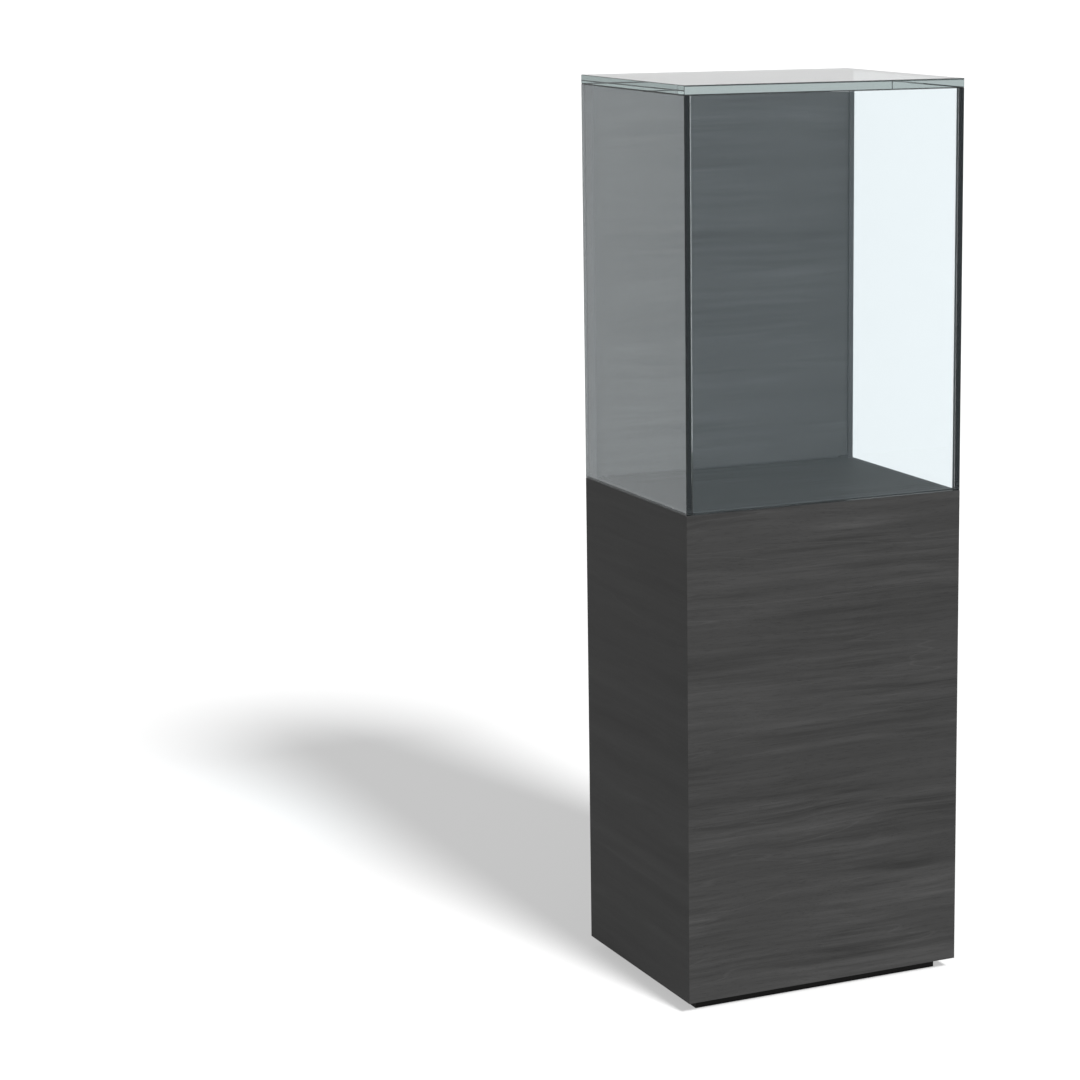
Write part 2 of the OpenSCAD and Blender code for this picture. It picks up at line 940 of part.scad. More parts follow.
module display_door_seal() {
    seal_out = lip_in + seal_w + seal_lap;
    seal_top = frame_top - frame_leg + seal_w + seal_lap;
    color(rubber_colour) {
        difference() {
            block([-seal_out, lip_y, base_h + loose], [seal_out, door_y - seal_clear, seal_top]);
            block([seal_w - seal_out, lip_y - cut, base_h],
                  [seal_out - seal_w, door_y + cut, seal_top - seal_w]);
        }
    }
}

// ---------- hinges ----------

// A hinge's own knuckles: the even ones belong to the frame leaf, the odd ones to the door leaf
module knuckles(odd) {
    for (i = [odd : 2 : knuckle_count - 1])
        translate([0, 0, i * knuckle_h - hinge_h / 2])
            children();
}

// A knuckle with the tab that joins it to its leaf, which lies along +Y at +X
module knuckle() {
    difference() {
        translate([0, 0, knuckle_gap / 2])
            union() {
                cylinder(h = knuckle_h - knuckle_gap, r = knuckle_r);
                translate([axis_off - leaf_t, 0, 0])
                    cube([leaf_t, leaf_start + cut, knuckle_h - knuckle_gap]);
            }
        translate([0, 0, -cut])
            cylinder(h = knuckle_h + 2 * cut, r = hinge_pin_r + fit);
    }
}

// Outline of a leaf's plate, square beside the knuckles and rounded at its outer corners
module leaf_outline(width) {
    plate_w = width - leaf_start;
    translate([leaf_start + plate_w / 2, 0])
        rounded([plate_w, hinge_h], leaf_corner);
    translate([leaf_start, -hinge_h / 2])
        square([plate_w / 2, hinge_h]);
}

// A leaf with its knuckles, in the plane of the frame leaf
module leaf(width, hole_y, odd) {
    difference() {
        union() {
            knuckles(odd)
                knuckle();
            translate([axis_off - leaf_t, 0, 0])
                rotate([90, 0, 90])
                    linear_extrude(leaf_t)
                        leaf_outline(width);
        }
        at_leaf_screws(hole_y)
            screw_hole(small_screw_l, small_screw_r, small_head_r);
    }
}

// The leaf's screws, whose heads lie flush with its inner face
module at_leaf_screws(hole_y) {
    for (z = leaf_hole_z)
        translate([axis_off - leaf_t, hole_y, z])
            rotate([0, -90, 0])
                children();
}

// Turns a frame leaf into a door leaf, on the door's rear face
module as_door_leaf() {
    mirror([1, 1, 0])
        children();
}

module hinge_pin() {
    cylinder(h = hinge_h, r = hinge_pin_r, center = true);
    for (side = [0, 1])
        mirror([0, 0, side])
            translate([0, 0, hinge_h / 2])
                cylinder(h = pin_head_h, r1 = pin_head_r, r2 = pin_head_r - pin_head_h / 2);
}

// Places of a door's two hinges
module at_hinges(axis_x, zs) {
    for (z = zs)
        translate([axis_x, hinge_y, z])
            children();
}

module display_frame_screw_holes() {
    at_hinges(display_axis_x, display_hinge_z)
        at_leaf_screws(frame_hole_y)
            screw_hole(leaf_t + frame_t + cut, small_screw_r, small_head_r);
}

module storage_frame_screw_holes() {
    at_hinges(storage_axis_x, storage_hinge_z)
        at_leaf_screws(frame_hole_y)
            screw_hole(small_screw_l, small_screw_r, small_head_r);
}

module door_screw_holes(axis_x, zs) {
    at_hinges(axis_x, zs)
        as_door_leaf()
            at_leaf_screws(door_hole_x)
                screw_hole(small_screw_l, small_screw_r, small_head_r);
}

module frame_leaves(axis_x, zs) {
    color(steel_colour)
        at_hinges(axis_x, zs)
            leaf(frame_leaf_w, frame_hole_y, 0);
}

module door_leaves(axis_x, zs) {
    color(steel_colour)
        at_hinges(axis_x, zs)
            as_door_leaf()
                leaf(door_leaf_w, door_hole_x, 1);
}

module hinge_pins(axis_x, zs) {
    color(steel_colour)
        at_hinges(axis_x, zs)
            hinge_pin();
}

module frame_leaf_screws(axis_x, zs, len) {
    color(zinc_colour)
        at_hinges(axis_x, zs)
            at_leaf_screws(frame_hole_y)
                screw(len, small_screw_r, small_head_r);
}

module door_leaf_screws(axis_x, zs) {
    color(zinc_colour)
        at_hinges(axis_x, zs)
            as_door_leaf()
                at_leaf_screws(door_hole_x)
                    screw(small_screw_l, small_screw_r, small_head_r);
}

// ---------- locks ----------

// Places a lock that throws its bolt down: Y = 0 is the door's rear face, Z = 0 the plug's axis
module at_display_lock() {
    translate([display_lock.x, door_back, display_lock.y])
        children();
}

// The storage lock is the same one turned over, so that it throws up
module at_storage_lock() {
    translate([storage_lock.x, door_back, storage_lock.y])
        mirror([0, 0, 1])
            children();
}

// The four screws through the case, pointing at the door
module at_lock_screws() {
    for (x = [-post_x, post_x], z = [-post_z, post_z])
        translate([x, lock_d, z])
            rotate([-90, 0, 0])
                children();
}

// An outline in the plane of the door, extruded from y0 to y1
module along_y(y0, y1) {
    translate([0, y1, 0])
        rotate([90, 0, 0])
            linear_extrude(y1 - y0)
                children();
}

module lock_case() {
    in_w = lock_w - 2 * lock_wall;
    in_h = lock_h - 2 * lock_wall;
    color(steel_colour)
        difference() {
            union() {
                difference() {
                    along_y(0, lock_d)
                        rounded([lock_w, lock_h], lock_corner);
                    along_y(-cut, lock_d - lock_wall)
                        rounded([in_w, in_h], lock_corner - lock_wall);
                }
                for (x = [-post_x, post_x], z = [-post_z, post_z])
                    translate([x, 0, z])
                        rotate([-90, 0, 0])
                            cylinder(h = lock_d - fit, r = post_r);
                translate([0, disc_y + disc_t + loose, 0])
                    rotate([-90, 0, 0])
                        cylinder(h = lock_d - disc_y - disc_t - loose - fit, r = collar_r);
            }
            translate([0, -cut, 0])
                rotate([-90, 0, 0])
                    cylinder(h = lock_d + 2 * cut, r = plug_r + fit);
            block([-bolt_w / 2 - loose, -cut, -lock_h / 2 - cut],
                  [bolt_w / 2 + loose, 2 * loose + bolt_t, -in_h / 2 + cut]);
            at_lock_screws()
                screw_hole(lock_screw_l, small_screw_r, small_head_r);
        }
}

// The key plug: its disc lies over the bolt and carries the drive pin
module lock_plug() {
    color(steel_colour)
        difference() {
            union() {
                translate([0, disc_y + disc_t - fit, 0])
                    rotate([-90, 0, 0])
                        cylinder(h = lock_d + plug_proud - disc_y - disc_t + fit, r = plug_r);
                translate([0, disc_y, 0])
                    rotate([-90, 0, 0])
                        cylinder(h = disc_t, r = disc_r);
                translate([bolt_travel / 2, 2 * loose, bolt_travel / 2])
                    rotate([-90, 0, 0])
                        cylinder(h = disc_y - 2 * loose + fit, r = drive_pin_r);
            }
            block([-keyway_w / 2, disc_y + disc_t, -plug_r / 2], [keyway_w / 2, lock_d + cut, plug_r / 2]);
        }
}

// The bolt, drawn in: a plate with the crank's slot, and a tongue through the case's wall
module lock_bolt() {
    slot_z = bolt_travel / 2;
    color(steel_colour)
        translate([0, loose, 0])
            difference() {
                union() {
                    block([-bolt_body_w / 2, 0, slot_z - bolt_body_h / 2],
                          [bolt_body_w / 2, bolt_t, slot_z + bolt_body_h / 2]);
                    block([-bolt_w / 2, 0, -lock_h / 2], [bolt_w / 2, bolt_t, slot_z]);
                }
                block([slot_x0, -cut, slot_z - slot_h / 2], [slot_x1, bolt_t + cut, slot_z + slot_h / 2]);
            }
}

module lock_screws() {
    color(zinc_colour)
        at_lock_screws()
            screw(lock_screw_l, small_screw_r, small_head_r);
}

// A strike plate seen from above, its top face at the origin
module strike_plate() {
    color(steel_colour)
        difference() {
            translate([0, 0, -strike_t])
                linear_extrude(strike_t)
                    rounded([strike_l, strike_w], strike_corner);
            block([-strike_slot_w / 2, -strike_slot_d / 2, -strike_t - cut],
                  [strike_slot_w / 2, strike_slot_d / 2, cut]);
            at_strike_screws()
                screw_hole(small_screw_l, small_screw_r, small_head_r);
        }
}

module at_strike_screws() {
    for (x = [-strike_hole_x, strike_hole_x])
        translate([x, 0, 0])
            children();
}

module strike_screws() {
    color(zinc_colour)
        at_strike_screws()
            screw(small_screw_l, small_screw_r, small_head_r);
}

// The recess for a strike plate, its screws and the bolt's end, which goes in by depth
module strike_recess(depth) {
    translate([0, 0, -strike_t])
        linear_extrude(strike_t + cut)
            rounded([strike_l + 2 * fit, strike_w + 2 * fit], strike_corner + fit);
    block([-strike_slot_w / 2, -strike_slot_d / 2, -depth - pocket_over],
          [strike_slot_w / 2, strike_slot_d / 2, cut]);
    at_strike_screws()
        screw_hole(small_screw_l, small_screw_r, small_head_r);
}

module at_display_strike() {
    translate([display_lock.x, bolt_mid_y, base_h])
        children();
}

module at_storage_strike() {
    translate([storage_lock.x, bolt_mid_y, deck_z])
        mirror([0, 0, 1])
            children();
}

module display_strike_recess() {
    at_display_strike()
        strike_recess(base_h - display_reach);
}

module storage_strike_recess() {
    at_storage_strike()
        strike_recess(storage_reach - deck_z);
}

// ---------- doors and their hardware ----------

module display_door() {
    color(laminate_colour)
        difference() {
            bevelled_block([-display_half, door_y, display_z0],
                           [display_half, door_back, display_z1], board_arris);
            door_screw_holes(display_axis_x, display_hinge_z);
            at_display_lock()
                at_lock_screws()
                    screw_hole(lock_screw_l, small_screw_r, small_head_r);
            block([-sweep_half - fit, sweep_y - sweep_groove_w / 2, display_z0 - cut],
                  [sweep_half + fit, sweep_y + sweep_groove_w / 2, display_z0 + sweep_groove_d]);
        }
}

// A strip along the door's foot: a tongue in its groove, a flange, and a lip down to just above the deck
module display_door_sweep() {
    tongue = sweep_groove_w / 2 - fit;
    tongue_h = sweep_groove_d - fit;
    tip_z = base_h + loose - display_z0;
    color(rubber_colour)
        translate([-sweep_half, sweep_y, display_z0])
            rotate([90, 0, 90])
                linear_extrude(2 * sweep_half)
                    polygon([
                        [-tongue, 0], [-tongue, tongue_h],
                        [tongue, tongue_h], [tongue, 0],
                        [sweep_w / 2, 0], [sweep_w / 2, -sweep_flange_t],
                        [sweep_lip_w / 2, -sweep_flange_t], [sweep_tip_w / 2, tip_z],
                        [-sweep_tip_w / 2, tip_z], [-sweep_lip_w / 2, -sweep_flange_t],
                        [-sweep_w / 2, -sweep_flange_t], [-sweep_w / 2, 0]
                    ]);
}

module storage_door() {
    color(laminate_colour)
        difference() {
            bevelled_block([-storage_half, door_y, storage_z0],
                           [storage_half, door_back, storage_z1], board_arris);
            door_screw_holes(storage_axis_x, storage_hinge_z);
            at_storage_lock()
                at_lock_screws()
                    screw_hole(lock_screw_l, small_screw_r, small_head_r);
        }
}

module display_hinge_frame_leaves() {
    frame_leaves(display_axis_x, display_hinge_z);
}

module display_hinge_door_leaves() {
    door_leaves(display_axis_x, display_hinge_z);
}

module display_hinge_pins() {
    hinge_pins(display_axis_x, display_hinge_z);
}

module display_hinge_frame_screws() {
    frame_leaf_screws(display_axis_x, display_hinge_z, leaf_t + frame_t - loose);
}

module display_hinge_door_screws() {
    door_leaf_screws(display_axis_x, display_hinge_z);
}

module display_lock_case() {
    at_display_lock()
        lock_case();
}

module display_lock_plug() {
    at_display_lock()
        lock_plug();
}

module display_lock_bolt() {
    at_display_lock()
        lock_bolt();
}

module display_lock_screws() {
    at_display_lock()
        lock_screws();
}

module display_strike_plate() {
    at_display_strike()
        strike_plate();
}

module display_strike_screws() {
    at_display_strike()
        strike_screws();
}

module storage_hinge_frame_leaves() {
    frame_leaves(storage_axis_x, storage_hinge_z);
}

module storage_hinge_door_leaves() {
    door_leaves(storage_axis_x, storage_hinge_z);
}

module storage_hinge_pins() {
    hinge_pins(storage_axis_x, storage_hinge_z);
}

module storage_hinge_frame_screws() {
    frame_leaf_screws(storage_axis_x, storage_hinge_z, small_screw_l);
}

module storage_hinge_door_screws() {
    door_leaf_screws(storage_axis_x, storage_hinge_z);
}

module storage_lock_case() {
    at_storage_lock()
        lock_case();
}

module storage_lock_plug() {
    at_storage_lock()
        lock_plug();
}

module storage_lock_bolt() {
    at_storage_lock()
        lock_bolt();
}

module storage_lock_screws() {
    at_storage_lock()
        lock_screws();
}

module storage_strike_plate() {
    at_storage_strike()
        strike_plate();
}

module storage_strike_screws() {
    at_storage_strike()
        strike_screws();
}

front_panel();
left_side_panel();
right_side_panel();
corner_splines();
bottom_board();
deck_board();
storage_shelf();
shelf_pins();
carcass_dowels();
cam_fittings();
cam_bolts();
plinth_front();
plinth_rear();
plinth_left();
plinth_right();
plinth_screws();
leveller_sleeves();
leveller_front_left();
leveller_front_right();
leveller_rear_left();
leveller_rear_right();
lower_door_stop();
stop_screws();
stop_bumpers();
glass_bedding();
left_glass();
right_glass();
front_glass();
top_glass();
rear_frame();
rear_frame_screws();
display_door_seal();
display_door();
display_door_sweep();
display_hinge_frame_leaves();
display_hinge_door_leaves();
display_hinge_pins();
display_hinge_frame_screws();
display_hinge_door_screws();
display_lock_case();
display_lock_plug();
display_lock_bolt();
display_lock_screws();
display_strike_plate();
display_strike_screws();
storage_door();
storage_hinge_frame_leaves();
storage_hinge_door_leaves();
storage_hinge_pins();
storage_hinge_frame_screws();
storage_hinge_door_screws();
storage_lock_case();
storage_lock_plug();
storage_lock_bolt();
storage_lock_screws();
storage_strike_plate();
storage_strike_screws();
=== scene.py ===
"""The looks of a pedestal display case: laminate, glass, metal and rubber, and the light round it."""
import math

import bpy
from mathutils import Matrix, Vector

# ---------- values, in metres and degrees ----------

# Camera: its lens and sensor are in millimetres
CAMERA_PLACE = (-2.3309, -4.5135, 1.7470)
CAMERA_YAW = 27.393
CAMERA_PITCH = 11.299
CAMERA_LENS = 103.26
CAMERA_SENSOR = 36.0
CAMERA_SHIFT_X = -0.2176

# Light: it travels to the rear, drifting to the left
SUN_DRIFT = -0.12
SUN_ELEVATION = 39.6
SUN_ANGLE = 11.5
OBJECT_SUN = 0.45
FLOOR_SUN = 7.5
WORLD_LIGHT = 1.0
HORIZON_LIGHT = 0.80           # of that, near the horizon
HORIZON_ZONE = (0.05, 0.30)    # sine of the height over the horizon, from low light to full

# Floor: its brightness changes over these stretches of X or Y
FLOOR_SIZE = 300.0
FLOOR_GREY = 0.1
FLOOR_GLOW = 0.47              # the share of light that no shadow takes away
FLOOR_NEAR = 0.84              # on the viewer's side of the object
FLOOR_LEFT = 0.82              # behind it to the left
FLOOR_RIGHT = 1.08             # behind it to the right
NEAR_ZONE_Y = (-3.6, -2.2)
REAR_ZONE_Y = (1.5, 3.0)
LEFT_ZONE_X = (-2.2, -1.2)
RIGHT_ZONE_X = (1.0, 2.0)

# Colours, linear
LAMINATE = (0.0450, 0.0448, 0.0446)
# Painted shade: the side panels' laminate is painted darker than the rest, for sides turned from the
# light
SIDE_LAMINATE_PAINTED_SHADE = (0.0330, 0.0329, 0.0328)
# Painted shade: the deck's laminate is painted much darker, for the little light that reaches it under
# the glass
DECK_LAMINATE_PAINTED_SHADE = (0.0130, 0.0121, 0.0110)
EDGE_BAND = (0.0340, 0.0338, 0.0336)
PLINTH = (0.0040, 0.0038, 0.0036)
FRAME = (0.0130, 0.0140, 0.0150)
GLASS = (0.938, 0.981, 1.0)
GLASS_SHEEN = (0.78, 0.90, 0.96)
GLASS_TAKES = (1.55, 1.28, 1.33)     # of each colour, for a metre of glass
BOND = (0.010, 0.012, 0.012)
# Black silicone: partly its own colour, and partly a painted shade for the shade line along the feet of
# the panes
SILICONE_AND_PAINTED_SHADE = (0.022, 0.025, 0.026)
STEEL = (0.44, 0.44, 0.43)
ZINC = (0.42, 0.43, 0.43)
NICKEL = (0.50, 0.485, 0.455)
BRASS = (0.62, 0.44, 0.20)
NYLON = (0.020, 0.020, 0.021)
RUBBER = (0.016, 0.016, 0.016)
BEECH = (0.56, 0.36, 0.19)

# Grain of the laminate: marks per metre, along it and across it
SWAY_MARKS = (2.6, 6.0)
BAND_MARKS = (1.1, 17.0)
FIGURE_MARKS = (2.4, 46.0)
STREAK_MARKS = (4.0, 105.0)
PATCH_MARKS = (5.0, 13.0)
THREAD_MARKS = (9.0, 520.0)
PORE_MARKS = (38.0, 1500.0)

# How strongly each layer shows
SWAY_REACH = 0.035             # how far the grain would leave its line, for a full step of noise
BAND_TONE = 0.7
FIGURE_TONE = 0.7
STREAK_TONE = 0.7
THREAD_TONE = 0.25
PATCH_ZONE = (0.35, 0.65)      # of noise, from a plain patch to a well-marked one
PATCH_TONE = (0.45, 1.35)
VEIN_LEVEL = 0.53              # the bands' contour that a light line follows
VEIN_WIDTH = 0.006
VEIN_TONE = 0.16
PORE_ZONE = (0.60, 0.68)
PORE_TONE = 0.25
PORE_SHADE = 0.35
TONE_SHADES = (0.45, 1.55)     # of the laminate's colour, in its darkest and lightest marks
LAMINATE_ROUGH = (0.50, 0.62)
LAMINATE_SHEEN = 0.03
LAMINATE_RELIEF = 0.00008
BAND_FACING = 0.6              # a face less square than this to the board's thin way is an edge

# Glass
GLASS_IOR = 1.52
ARRIS_PAINTED_SHADE = 0.6              # painted shade: how much of the bond colour lies over the ground bevels of a pane
FLAT_FACING = 0.8              # a face that is less square than this to every axis is a bevel
JOINT_FACING = (0.5, 0.8)      # from a bevel, whose share is painted shade, to the glued face beside it
JOINT_ROUGH = 0.4

# Other surfaces: marks per metre, shades as shares of the colour, roughness about its middle
COATED_CLOUDS = 18.0
COATED_SHADES = (0.86, 1.14)
COATED_ROUGH = (-0.05, 0.05)
METAL_BRUSH = (4000.0, 4000.0, 60.0)
METAL_CLOUDS = 120.0
METAL_SHADES = (0.92, 1.06)
METAL_ROUGH = (-0.06, 0.08)
METAL_RELIEF = 0.00001
BEECH_MARKS = (60.0, 900.0)
BEECH_SHADES = (0.75, 1.15)
BEECH_ROUGH = 0.6
BEECH_RELIEF = 0.00004
FOOT_MARKS = 900.0
FOOT_ROUGH = (0.38, 0.46)
FOOT_RELIEF = 0.00002
FOOT_TOP = 0.0061              # of a leveller, at rest
NOISE_ZONE = (0.3, 0.7)        # nearly all of a noise lies in it


# ---------- shader building ----------

def node(tree, kind, inputs=None, **settings):
    """A new shader node. Each input's value is a constant or another node's socket."""
    made = tree.nodes.new(kind)
    for key, value in settings.items():
        setattr(made, key, value)
    for key, value in (inputs or {}).items():
        if isinstance(value, bpy.types.NodeSocket):
            tree.links.new(value, made.inputs[key])
        else:
            made.inputs[key].default_value = value
    return made


def number(tree, operation, a, b=0.0, clamp=False):
    return node(tree, "ShaderNodeMath", {0: a, 1: b}, operation=operation, use_clamp=clamp).outputs[0]


def vector(tree, operation, a, b):
    return node(tree, "ShaderNodeVectorMath", {0: a, 1: b}, operation=operation).outputs[0]


def noise(tree, place, scale=1.0, detail=2.0):
    inputs = {"Vector": place, "Scale": scale, "Detail": detail}
    return node(tree, "ShaderNodeTexNoise", inputs).outputs["Fac"]


def grain(tree, place, marks, detail=2.0):
    """Noise with so many marks per metre along X, and across it."""
    along, across = marks
    return noise(tree, vector(tree, "MULTIPLY", place, (along, across, across)), detail=detail)


def remap(tree, value, zone, low=0.0, high=1.0):
    """Takes value from the zone's two ends to low and high, and clamps it there."""
    inputs = {"Value": value, "From Min": zone[0], "From Max": zone[1], "To Min": low, "To Max": high}
    return node(tree, "ShaderNodeMapRange", inputs).outputs["Result"]


def spread(tree, layer, low=0.0, high=1.0):
    """A noise, spread over the whole way from low to high."""
    return remap(tree, layer, NOISE_ZONE, low, high)


def weighted(tree, layer, weight):
    """A noise about zero, times weight."""
    return number(tree, "MULTIPLY", number(tree, "SUBTRACT", layer, 0.5), weight)


def blended(tree, factor, a, b):
    """Colour a where factor is 0, and b where it is 1."""
    made = node(tree, "ShaderNodeMix", data_type="RGBA")
    for key, value in ((0, factor), (6, a), (7, b)):
        if isinstance(value, bpy.types.NodeSocket):
            tree.links.new(value, made.inputs[key])
        else:
            made.inputs[key].default_value = (*value, 1.0) if key > 0 else value
    return made.outputs[2]


def bump(tree, height, distance):
    """A normal from height, which is distance metres for a step of 1."""
    return node(tree, "ShaderNodeBump", {"Height": height, "Distance": distance}).outputs["Normal"]


def new_tree(name):
    material = bpy.data.materials.new(name)
    material.use_nodes = True
    material.node_tree.nodes.clear()
    return material, material.node_tree


def finished(material, tree, **inputs):
    """Puts a Principled shader with these inputs at the end of the tree."""
    names = {key.replace("_", " "): value for key, value in inputs.items()}
    shader = node(tree, "ShaderNodeBsdfPrincipled", names)
    node(tree, "ShaderNodeOutputMaterial", {"Surface": shader.outputs[0]})
    return material


def object_place(tree):
    return node(tree, "ShaderNodeTexCoord").outputs["Object"]


def split(tree, socket):
    """A vector's X, Y and Z sockets."""
    return node(tree, "ShaderNodeSeparateXYZ", {0: socket}).outputs


def facing(tree, axis):
    """How squarely a face looks along one of the object's axes, either way: 0 to 1."""
    normal = node(tree, "ShaderNodeTexCoord").outputs["Normal"]
    return number(tree, "ABSOLUTE", split(tree, normal)[axis])


def squarest_facing(tree):
    """The same for the axis that the face looks along most squarely."""
    across = number(tree, "MAXIMUM", facing(tree, "X"), facing(tree, "Y"))
    return number(tree, "MAXIMUM", across, facing(tree, "Z"))


def shade(colour, factor):
    return tuple(c * factor for c in colour)


def shaded(tree, factor, colour, shades):
    """The colour times the first of two shades where factor is 0, and times the second where it is 1."""
    return blended(tree, factor, shade(colour, shades[0]), shade(colour, shades[1]))


# ---------- materials ----------

def swayed(tree, place):
    """The place, moved across the grain a little, so that the grain wanders off its line."""
    sway = weighted(tree, grain(tree, place, SWAY_MARKS), SWAY_REACH)
    offset = node(tree, "ShaderNodeCombineXYZ", {"Y": sway, "Z": sway}).outputs[0]
    return vector(tree, "ADD", place, offset)


def laminate_tone(tree, place, line, streaks, contrast):
    """How light the laminate is, 0 to 1: bands, figure, streaks and threads, and a few light lines."""
    bands = grain(tree, line, BAND_MARKS)
    figure = grain(tree, line, FIGURE_MARKS)
    threads = grain(tree, line, THREAD_MARKS)
    tone = weighted(tree, bands, BAND_TONE * contrast)
    for layer, weight in ((figure, FIGURE_TONE), (streaks, STREAK_TONE), (threads, THREAD_TONE)):
        tone = number(tree, "ADD", tone, weighted(tree, layer, weight * contrast))

    patches = grain(tree, place, PATCH_MARKS, detail=1.0)
    tone = number(tree, "MULTIPLY", tone, remap(tree, patches, PATCH_ZONE, *PATCH_TONE))

    off_contour = number(tree, "ABSOLUTE", number(tree, "SUBTRACT", bands, VEIN_LEVEL))
    vein = remap(tree, off_contour, (0.0, VEIN_WIDTH), VEIN_TONE, 0.0)
    tone = number(tree, "ADD", tone, number(tree, "MULTIPLY", vein, contrast))
    return number(tree, "ADD", tone, 0.5, clamp=True)


def laminate_material(name, base, contrast, thin_axis, turned=False):
    """Laminate on a board that is thin along thin_axis, with plain edge bands.

    The grain runs straight along X, or along Y if it is turned.
    """
    material, tree = new_tree(name)
    place = object_place(tree)
    if turned:
        quarter = (0, 0, math.radians(90))
        place = node(tree, "ShaderNodeMapping", {"Vector": place, "Rotation": quarter}).outputs[0]
    line = swayed(tree, place)
    streaks = grain(tree, line, STREAK_MARKS)
    pore = remap(tree, grain(tree, line, PORE_MARKS, detail=1.0), PORE_ZONE)
    edge = number(tree, "LESS_THAN", facing(tree, thin_axis), BAND_FACING)

    colour = shaded(tree, laminate_tone(tree, place, line, streaks, contrast), base, TONE_SHADES)
    pore_tone = number(tree, "MULTIPLY", pore, PORE_TONE * contrast)
    colour = blended(tree, pore_tone, colour, shade(base, PORE_SHADE))
    colour = blended(tree, edge, colour, EDGE_BAND)

    height = number(tree, "SUBTRACT", number(tree, "MULTIPLY", streaks, 0.5), pore)
    height = number(tree, "MULTIPLY", height, number(tree, "SUBTRACT", 1.0, edge))
    return finished(material, tree, Base_Color=colour, Roughness=spread(tree, streaks, *LAMINATE_ROUGH),
                    Specular_IOR_Level=LAMINATE_SHEEN, Normal=bump(tree, height, LAMINATE_RELIEF))


def plain_material(name, colour, rough, specular, size, depth):
    """A moulded or coated surface, with an even grain of this size and depth."""
    material, tree = new_tree(name)
    place = object_place(tree)
    cloud = noise(tree, place, scale=COATED_CLOUDS, detail=3.0)
    texture = noise(tree, place, scale=1.0 / size, detail=1.0)
    low, high = COATED_ROUGH
    return finished(material, tree, Specular_IOR_Level=specular,
                    Base_Color=shaded(tree, spread(tree, cloud), colour, COATED_SHADES),
                    Roughness=spread(tree, texture, rough + low, rough + high),
                    Normal=bump(tree, texture, depth))


def metal_material(name, colour, rough):
    """Brushed or plated metal: fine upright lines, and a cloudy sheen."""
    material, tree = new_tree(name)
    place = object_place(tree)
    brush = noise(tree, vector(tree, "MULTIPLY", place, METAL_BRUSH))
    cloud = noise(tree, place, scale=METAL_CLOUDS)
    low, high = METAL_ROUGH
    return finished(material, tree, Metallic=1.0,
                    Base_Color=shaded(tree, spread(tree, cloud), colour, METAL_SHADES),
                    Roughness=spread(tree, brush, rough + low, rough + high),
                    Normal=bump(tree, brush, METAL_RELIEF))


def beech_material():
    material, tree = new_tree("beech")
    fibre = grain(tree, object_place(tree), BEECH_MARKS, detail=3.0)
    return finished(material, tree, Base_Color=shaded(tree, fibre, BEECH, BEECH_SHADES),
                    Roughness=BEECH_ROUGH, Normal=bump(tree, fibre, BEECH_RELIEF))


def leveller_material():
    """A nylon foot under a zinc-plated stem."""
    material, tree = new_tree("leveller")
    place = object_place(tree)
    stem = number(tree, "GREATER_THAN", split(tree, place)["Z"], FOOT_TOP)
    texture = noise(tree, place, scale=FOOT_MARKS, detail=1.0)
    return finished(material, tree, Base_Color=blended(tree, stem, NYLON, ZINC), Metallic=stem,
                    Roughness=spread(tree, texture, *FOOT_ROUGH),
                    Normal=bump(tree, texture, FOOT_RELIEF))


def glass_material(name, bonded=""):
    """Clear float glass with ground bevels. Lamps shine through it, as they do through a real pane.

    bonded names the axes along which its end faces are glued. The joint is a line of the bond colour
    there, and every bevel is laid over with that colour in part, as painted shade, a little more beside a
    glued face.
    """
    material, tree = new_tree(name)
    glass = node(tree, "ShaderNodeBsdfPrincipled", {
        "Base Color": (*GLASS, 1.0), "Roughness": 0.0, "IOR": GLASS_IOR, "Transmission Weight": 1.0,
        "Specular Tint": (*GLASS_SHEEN, 1.0)})
    clear = node(tree, "ShaderNodeBsdfTransparent", {"Color": (*GLASS, 1.0)})
    rays = node(tree, "ShaderNodeLightPath")
    surface = node(tree, "ShaderNodeMixShader", {
        0: rays.outputs["Is Shadow Ray"], 1: glass.outputs[0], 2: clear.outputs[0]})

    # Painted shade on the bevels, and the glue line on glued faces, both laid on with the bond colour
    bevel = number(tree, "LESS_THAN", squarest_facing(tree), FLAT_FACING)
    joint_and_painted_shade = number(tree, "MULTIPLY", bevel, ARRIS_PAINTED_SHADE)
    for axis in bonded:
        joint_and_painted_shade = number(tree, "MAXIMUM", joint_and_painted_shade, remap(tree, facing(tree, axis), JOINT_FACING))
    joint = node(tree, "ShaderNodeBsdfPrincipled", {"Base Color": (*BOND, 1.0), "Roughness": JOINT_ROUGH})
    surface = node(tree, "ShaderNodeMixShader", {0: joint_and_painted_shade, 1: surface.outputs[0], 2: joint.outputs[0]})

    takes = max(GLASS_TAKES)
    kept = tuple(1.0 - part / takes for part in GLASS_TAKES)
    body = node(tree, "ShaderNodeVolumeAbsorption", {"Color": (*kept, 1.0), "Density": takes})
    node(tree, "ShaderNodeOutputMaterial", {"Surface": surface.outputs[0], "Volume": body.outputs[0]})
    return material


